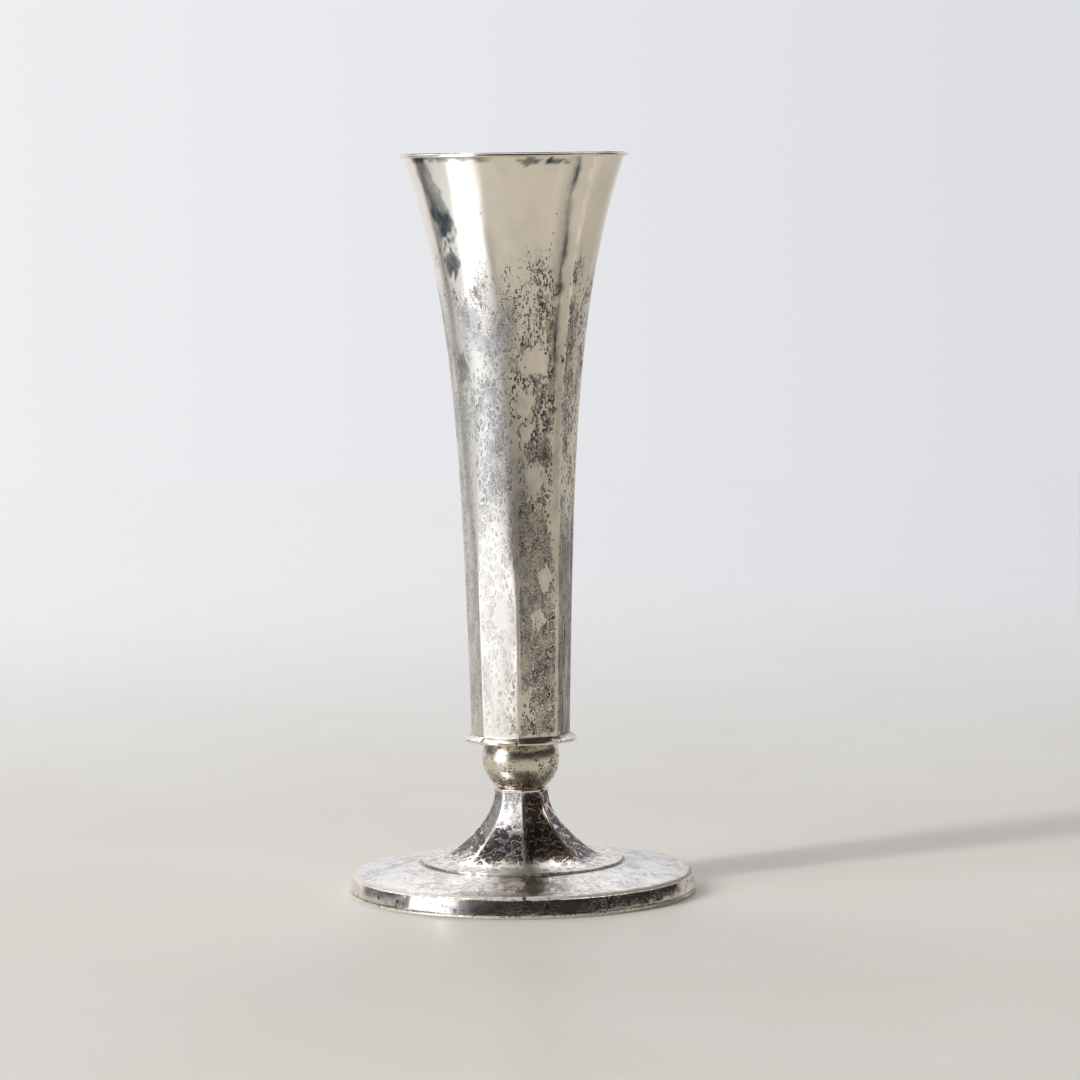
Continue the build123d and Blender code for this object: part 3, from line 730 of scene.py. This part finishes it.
stem_ones = np.ones(len(stem_angles))
flange_section = np.concatenate([
    [(flange_radius, flange_bottom)],
    arc((flange_radius - FLANGE_EDGE, flange_top - FLANGE_EDGE), FLANGE_EDGE, 0, 90, 6),
])
stem_outside = stem_section(stem_shares, 0)
root = stem_outside[0]
flange_share = np.linspace(0, 1, 14)[1:-1, None]
flange_radii = flange_radius - FLANGE_EDGE + (root - flange_radius + FLANGE_EDGE) * flange_share
stem_inside_shares = np.linspace(0, 1, 24)
stem_inside = stem_section(stem_inside_shares, SHEET_WALL)
stem_radii = np.concatenate([
    flange_section[:, :1] * stem_ones,
    flange_radii,
    stem_outside,
    stem_inside,
    stem_inside[-1:],
])
stem_heights = np.concatenate([
    flange_section[:, 1],
    np.full(len(flange_share), flange_top),
    stem_top - stem_shares * (stem_top - flange_top),
    stem_top - stem_inside_shares * (stem_top - flange_top),
    [flange_bottom],
])[:, None]
outer_rows = len(flange_section) + len(flange_share) + STEM_ROWS
stem_wave = ripple(stem_angles, stem_radii + stem_heights, 51, 60, 20, (4, 18))
stem_wave[outer_rows - 2:] = 0
stem_wave[:1] = 0
root_fillet = ROOT_FILLET_RISE * np.exp(-(((stem_radii - root) / ROOT_FILLET_WIDTH) ** 2))
root_fillet[outer_rows:] = 0
stem_grid = np.broadcast_to(stem_angles, stem_radii.shape)
arris_shine = near_arris(stem_grid, stem_arrises, stem_radii, 0.8)
on_facets = smoothstep(flange_top + 0.3, flange_top + 3, stem_heights)
stem_front = turn_between(stem_angles, FRONT)
left_of_front = smoothstep(0.08, 0, stem_front)
stem_clouds = ripple(stem_angles, stem_heights, 52, 24, 6, (8, 40))
worn_arris = np.exp(-(((stem_front - 0.84) * stem_radii / 0.5) ** 2)) * on_facets
worn_facet = smoothstep(0.05, 0.12, stem_front) * smoothstep(0.84, 0.76, stem_front) * on_facets
up_stem = (stem_heights - flange_top) / (stem_top - flange_top)
upper_left = left_of_front * smoothstep(0.35, 0.6, up_stem + 0.1 * stem_clouds)
stem = ring_piece(
    "vase_stem",
    turned(stem_radii, stem_angles, stem_heights + STEM_WAVE * stem_wave + root_fillet),
    True,
    tarnish=0.66 + 0.42 * on_facets + 0.1 * stem_clouds,
    wear=0.8 * arris_shine * on_facets,
    net=0.4 + 0.2 * on_facets + 0.2 * upper_left,
    film=0.45 - 0.3 * on_facets + 0.1 * left_of_front * on_facets + 0.35 * upper_left,
    stipple=0.8 * upper_left,
    faint=0.7 * (1 - on_facets) + 0.62 * upper_left,
    bare=np.maximum(0.35 * worn_facet, 0.8 * worn_arris * smoothstep(-0.3, 0.1, stem_clouds)),
    # Cream painted on the arrises left of the front, the side the window lights, and round the flange's edge
    # stands for their highlights
    chalk=0.5 * arris_shine * on_facets * left_of_front + 0.4 * smoothstep(33.8, 34.3, stem_radii),
)
place(stem, stem_silver, "plated_stem", "stem_foot")

# Foot disc: up the skirt, round the shoulder, in over the top to the stem's seat and back below
FOOT_COLUMNS = 384
TOP_ROWS = 44
TOP_WAVE = 0.05
SKIRT_WAVE = 0.04
foot_angles = np.arange(FOOT_COLUMNS) * 2 * math.pi / FOOT_COLUMNS
skirt_run = np.array([SHOULDER_RADIUS - skirt_radius, SHOULDER_LEVEL - hem_level])
skirt_length = math.hypot(*skirt_run)
skirt_out = np.array([skirt_run[1], -skirt_run[0]]) / skirt_length
skirt_share = np.linspace(0, 0.82, 14)[:, None]
skirt_section = np.array([skirt_radius, hem_level]) + skirt_run * skirt_share
skirt_section = skirt_section + 4 * SKIRT_BULGE * skirt_share * (1 - skirt_share) * skirt_out
top_slope = math.degrees(math.atan2(seat_level - SHOULDER_LEVEL, SHOULDER_RADIUS - SEAT_RADIUS))
fillet_centre = (SHOULDER_RADIUS - SHOULDER_FILLET - 0.1, SHOULDER_LEVEL - SHOULDER_FILLET + 0.1)
shoulder_section = arc(fillet_centre, SHOULDER_FILLET, 8, 90 - top_slope, 9)
disc_under = SHOULDER_LEVEL - DISC_WALL
disc_section = np.concatenate([
    skirt_section,
    shoulder_section,
    run(shoulder_section[-1], (SEAT_RADIUS, seat_level), TOP_ROWS),
    [(SEAT_RADIUS, seat_level), (DISC_BORE, seat_level)],
    [(DISC_BORE, seat_level - DISC_WALL), (SEAT_RADIUS, seat_level - DISC_WALL)],
    [(SHOULDER_RADIUS - DISC_WALL, disc_under), (skirt_radius - DISC_WALL, hem_level)],
])
visible_rows = len(skirt_section) + len(shoulder_section) + TOP_ROWS
disc_radii, disc_heights = disc_section[:, :1], disc_section[:, 1:]
on_show = (np.arange(len(disc_section)) < visible_rows)[:, None].astype(float)
on_show[0] = 0
disc_wave = ripple(foot_angles, disc_radii, 61, 70, 40, (5, 22)) * on_show
on_skirt = (np.arange(len(disc_section)) < len(skirt_section))[:, None].astype(float)
skirt_wave = ripple(foot_angles, disc_heights, 62, 50, 60, (4, 14)) * on_skirt * on_show
disc_clouds = ripple(foot_angles, disc_radii, 63, 30, 8, (20, 80))
shoulder_wear = np.exp(-(((disc_radii - SHOULDER_RADIUS) / 0.7) ** 2)) * (1 - on_skirt)
# The shoulder's highlight is painted as a pale cream band, with a jagged lower edge on the skirt. A dark
# line runs along the hem, and a shadow is painted round the flange
foot_front = turn_between(foot_angles, FRONT)
jagged = ripple(foot_angles, 0, 64, 60, 180, (10, 20))
up_skirt = (disc_heights - hem_level) / (SHOULDER_LEVEL - hem_level)
top_edge = smoothstep(SHOULDER_RADIUS - 1.6, SHOULDER_RADIUS - 1.1, disc_radii)
painted_shoulder_highlight = smoothstep(0.72, 0.86, up_skirt + 0.04 * jagged) * on_skirt + top_edge * (1 - on_skirt)
flaked = smoothstep(0.85, 1.05, foot_front + 0.04 * jagged) * smoothstep(1.8, 1.4, foot_front)
crusted = smoothstep(0.2, 0.6, foot_front) * smoothstep(1.8, 1.4, foot_front)
crusted = crusted * smoothstep(0.25, 0.1, up_skirt)
# Shade painted on the skirt just right of the window's reflection ends that reflection
painted_shade_past_highlight = smoothstep(-0.5, -0.44, foot_front + 0.02 * jagged) * smoothstep(-0.1, -0.25, foot_front)
# A darker, clearer patch on the top in front is the stem's reflection painted into the tarnish and film
painted_stem_reflection = smoothstep(0.5, 0.12, np.abs(foot_front + 0.06 * disc_clouds)) * (1 - on_skirt)
# Darker along the hem, and a shadow painted round the flange's edge
dark_hem_and_flange_shadow = smoothstep(0.1, 0.04, up_skirt + 0.02 * jagged) * on_skirt
dark_hem_and_flange_shadow = dark_hem_and_flange_shadow + smoothstep(35.5, 34.8, disc_radii) * (1 - on_skirt)
waved_radii = disc_radii + SKIRT_WAVE * skirt_wave
waved_heights = disc_heights + TOP_WAVE * disc_wave * (1 - on_skirt)
disc = ring_piece(
    "vase_foot_disc",
    turned(waved_radii, foot_angles, waved_heights),
    True,
    tarnish=0.68 + 0.14 * disc_clouds - 0.2 * on_skirt + 0.2 * painted_stem_reflection,
    wear=0.6 * shoulder_wear,
    film=0.6 * (1 - on_skirt) * (1 - painted_stem_reflection),
    faint=0.48 * (1 - on_skirt) * (1 - painted_stem_reflection),
    stain=np.maximum(0.8 * dark_hem_and_flange_shadow, 0.75 * painted_shade_past_highlight * on_skirt),
    chalk=np.maximum(0.6 * painted_shoulder_highlight, np.maximum(0.32 * flaked, 0.44 * crusted) * on_skirt),
)
place(disc, foot_silver, "plated_foot", "base_disc")

# Foot wire: a half-round bead that stands on the table
foot_bead = foot_wire_top / 2
foot_wire_section = np.concatenate([
    arc((foot_wire_radius - foot_bead, foot_bead), foot_bead, -90, 90, 17),
    [(FOOT_WIRE_BORE, foot_wire_top), (FOOT_WIRE_BORE, 0)],
])
foot_wire = ring_piece(
    "vase_foot_wire",
    turned(foot_wire_section[:, :1], foot_angles, foot_wire_section[:, 1:]),
    True,
    tarnish=0.3 + 0.15 * ripple(foot_angles, 0, 71, 14, 24, (10, 20)),
    wear=0.15,
    # Cream painted over the bead stands for its highlight
    chalk=0.55,
)
place(foot_wire, wire_silver, "plated_wire", "foot_wire")

# Felt: a round of pressed felt with an uneven face and a cut edge
FELT_COLUMNS = 160
FELT_WAVE = 0.05
felt_angles = np.arange(FELT_COLUMNS) * 2 * math.pi / FELT_COLUMNS
felt_rings = np.linspace(0.02, 1, 40)[:, None] * felt_radius
felt_face = felt_bottom + FELT_WAVE * np.abs(ripple(felt_angles, felt_rings, 81, 40, 12, (4, 12)))
felt_points = np.concatenate([
    turned(felt_rings, felt_angles, felt_face),
    turned(felt_rings[::-1], felt_angles, felt_top),
])
felt = ring_piece("vase_felt", felt_points, False, poles=True)
place(felt, green_felt, "felt", "felt_pad")

# Solids that keep their own mesh: what shows inside the mouth and from below
for node, material in {
    "body_floor": dulled_plate,
    "tie_bolt": old_brass,
    "tie_washer": old_brass,
    "tie_nut": old_brass,
    "foot_filling": cast_pitch,
    "bottom_plate": tinned_sheet,
}.items():
    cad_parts[node].data.materials.clear()
    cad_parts[node].data.materials.append(material)

# Table: a pale, nearly matt lacquered top. It clears with distance, so that the backdrop shows softly
# behind it, and a fine speckle keeps that change free of lines. The silver mirrors a table that ends,
# with the room beyond its edges.
TABLE_WIDTH = 3.8  # metres, as all sizes of the table and the room
SPECKLE = 0.2
MOTTLES_PER_METRE = 9.0
LEFT_EDGE = (-0.38, -0.23)
NEAR_EDGE = (-0.82, -0.8)
FADE_CENTRE = (0, -0.35, 0)
FADE_REACH = (0.3, 1.6)
bpy.ops.mesh.primitive_plane_add(size=TABLE_WIDTH)
table = bpy.context.object
table.name = "table"
pale_table, tree, output = new_material("pale_matt_lacquer")
place_on = add(tree, "TexCoord", {}).outputs["Object"]
rays = add(tree, "LightPath", {})
far = add(tree, "VectorMath", {0: place_on, 1: FADE_CENTRE}, operation="DISTANCE").outputs["Value"]
faded = {0: far, 1: FADE_REACH[0], 2: FADE_REACH[1]}
faded = add(tree, "MapRange", faded, interpolation_type="SMOOTHSTEP").outputs[0]
spot = add(tree, "SeparateXYZ", {0: place_on})
left = {0: spot.outputs[0], 1: LEFT_EDGE[0], 2: LEFT_EDGE[1], 3: 1.0, 4: 0.0}
near = {0: spot.outputs[1], 1: NEAR_EDGE[0], 2: NEAR_EDGE[1], 3: 1.0, 4: 0.0}
left, near = [add(tree, "MapRange", edge).outputs[0] for edge in (left, near)]
ended = add(tree, "Math", {0: left, 1: near}, operation="MAXIMUM").outputs[0]
speckle = add(tree, "TexWhiteNoise", {"Vector": place_on}).outputs["Value"]
speckle = add(tree, "MapRange", {0: speckle, 3: -SPECKLE, 4: SPECKLE}).outputs[0]
faded = add(tree, "Math", {0: faded, 1: speckle}, operation="ADD", use_clamp=True).outputs[0]
clear = add(tree, "Mix", {0: rays.outputs["Is Camera Ray"], 2: ended, 3: faded}).outputs[0]
mottle = {"Vector": place_on, "Scale": MOTTLES_PER_METRE, "Detail": 5.0}
mottle = add(tree, "TexNoise", mottle).outputs[0]
mottle = add(tree, "MapRange", {0: mottle, 1: 0.35, 2: 0.65}).outputs[0]
paint = add(tree, "Mix", {0: mottle, 6: linear("#ebe6dc"), 7: linear("#efebe2")}, data_type="RGBA")
lacquer = add(tree, "BsdfPrincipled", {
    "Base Color": paint.outputs[2],
    "Roughness": 0.4,
    "Specular IOR Level": 0.05,
})
nothing = add(tree, "BsdfTransparent", {})
surface = add(tree, "MixShader", {0: clear, 1: lacquer.outputs[0], 2: nothing.outputs[0]})
tree.links.new(surface.outputs[0], output.inputs[0])
table.data.materials.append(pale_table)

# Room: the pale backdrop, graded from left to right, is all that the camera sees. The silver
# mirrors it behind the vase, and on the other sides a dim room that is bright low on the left.
BACKDROP_EDGE = (0.6, 0.72)  # how far backwards a direction points where the backdrop begins
world = bpy.data.worlds.new("room")
world.use_nodes = True
tree = world.node_tree
tree.nodes.clear()
direction = add(tree, "SeparateXYZ", {0: add(tree, "TexCoord", {}).outputs["Generated"]})
rays = add(tree, "LightPath", {})
sideways = add(tree, "MapRange", {0: direction.outputs[0], 1: -0.12, 2: 0.12}).outputs[0]
backdrop = add(tree, "Mix", {0: sideways, 6: linear("#efeff2"), 7: linear("#dddee2")}, data_type="RGBA")
behind = {0: direction.outputs[1], 1: BACKDROP_EDGE[0], 2: BACKDROP_EDGE[1]}
behind = add(tree, "MapRange", behind).outputs[0]
behind = add(tree, "Math", {0: behind, 1: rays.outputs["Is Glossy Ray"]}, operation="MULTIPLY").outputs[0]
shown = add(tree, "Math", {0: rays.outputs["Is Camera Ray"], 1: behind}, operation="MAXIMUM").outputs[0]
leftward = add(tree, "MapRange", {0: direction.outputs[0], 1: -0.75, 2: -0.9}).outputs[0]
downward = add(tree, "MapRange", {0: direction.outputs[2], 1: 0.15, 2: -0.08}).outputs[0]
leftward = add(tree, "Math", {0: leftward, 1: downward}, operation="MULTIPLY").outputs[0]
dim = add(tree, "Mix", {0: leftward, 6: linear("#2d2c2b"), 7: linear("#e9eef3")}, data_type="RGBA")
room = add(tree, "Mix", {0: shown, 6: dim.outputs[2], 7: backdrop.outputs[2]}, data_type="RGBA")
light = add(tree, "Background", {"Color": room.outputs[2], "Strength": 1.0})
tree.links.new(light.outputs[0], add(tree, "OutputWorld", {}).inputs[0])
bpy.context.scene.world = world


def soft_lamp(name, centre, target, width, height, colour, radiance, mirrored=True):
    """A panel of even light, in metres, turned to face its target. The camera never sees it, and the
    silver doesn't mirror it where mirrored is false."""
    data = bpy.data.lights.new(name, "AREA")
    data.shape = "RECTANGLE"
    data.size = width
    data.size_y = height
    data.color = linear(colour)[:3]
    data.energy = radiance * math.pi * width * height
    lamp = bpy.data.objects.new(name, data)
    lamp.location = centre
    lamp.rotation_euler = (Vector(target) - Vector(centre)).to_track_quat("-Z", "Y").to_euler()
    lamp.visible_camera = False
    lamp.visible_glossy = mirrored
    bpy.context.scene.collection.objects.link(lamp)


# Lamps: a tall window on the left with a strip of bright sky in it, a wide panel overhead behind the
# vase, and small fills on the right and in front
soft_lamp("window", (-2.402, -1.277, 0.65), (0, 0, 0.65), 1.87, 5.6, "#f1f5ff", 2.3)
soft_lamp("window_sky", (-2.18, -1.416, 1.5), (0, 0, 0), 0.24, 1.7, "#ffffff", 34)
soft_lamp("overhead", (-0.7, 2.2, 2.4), (-0.7, 2.2, 0), 3.6, 2.2, "#ffffff", 2.6)
soft_lamp("right_fill", (0.8, -0.1, 0.45), (0.8, -0.1, 0), 0.5, 0.5, "#fff8f0", 1.8)
soft_lamp("front_fill", (0.05, -0.8, 0.4), (0.05, -0.8, 0), 0.6, 0.3, "#fff8f0", 0.7, mirrored=False)

# Camera: fitted to the photograph's ellipses and outlines
CAMERA_PLACE = Vector((0, -1.5002, 0.2492))
CAMERA_YAW = 0.0049
CAMERA_PITCH = math.radians(4.939)
CAMERA_ROLL = 0.0122
CAMERA_LENS = 148.61
ahead = Vector((math.sin(CAMERA_YAW), math.cos(CAMERA_YAW), 0))
level_right = Vector((math.cos(CAMERA_YAW), -math.sin(CAMERA_YAW), 0))
upright = Vector((0, 0, 1))
forward = ahead * math.cos(CAMERA_PITCH) - upright * math.sin(CAMERA_PITCH)
tilted_up = ahead * math.sin(CAMERA_PITCH) + upright * math.cos(CAMERA_PITCH)
right = level_right * math.cos(CAMERA_ROLL) - tilted_up * math.sin(CAMERA_ROLL)
up = level_right * math.sin(CAMERA_ROLL) + tilted_up * math.cos(CAMERA_ROLL)
camera_data = bpy.data.cameras.new("camera")
camera_data.lens = CAMERA_LENS
camera_data.sensor_width = 36
camera = bpy.data.objects.new("camera", camera_data)
axes = Matrix((right, up, -forward)).transposed()
camera.matrix_world = Matrix.Translation(CAMERA_PLACE) @ axes.to_4x4()
bpy.context.scene.collection.objects.link(camera)
bpy.context.scene.camera = camera
bpy.context.scene.view_settings.view_transform = "Standard"
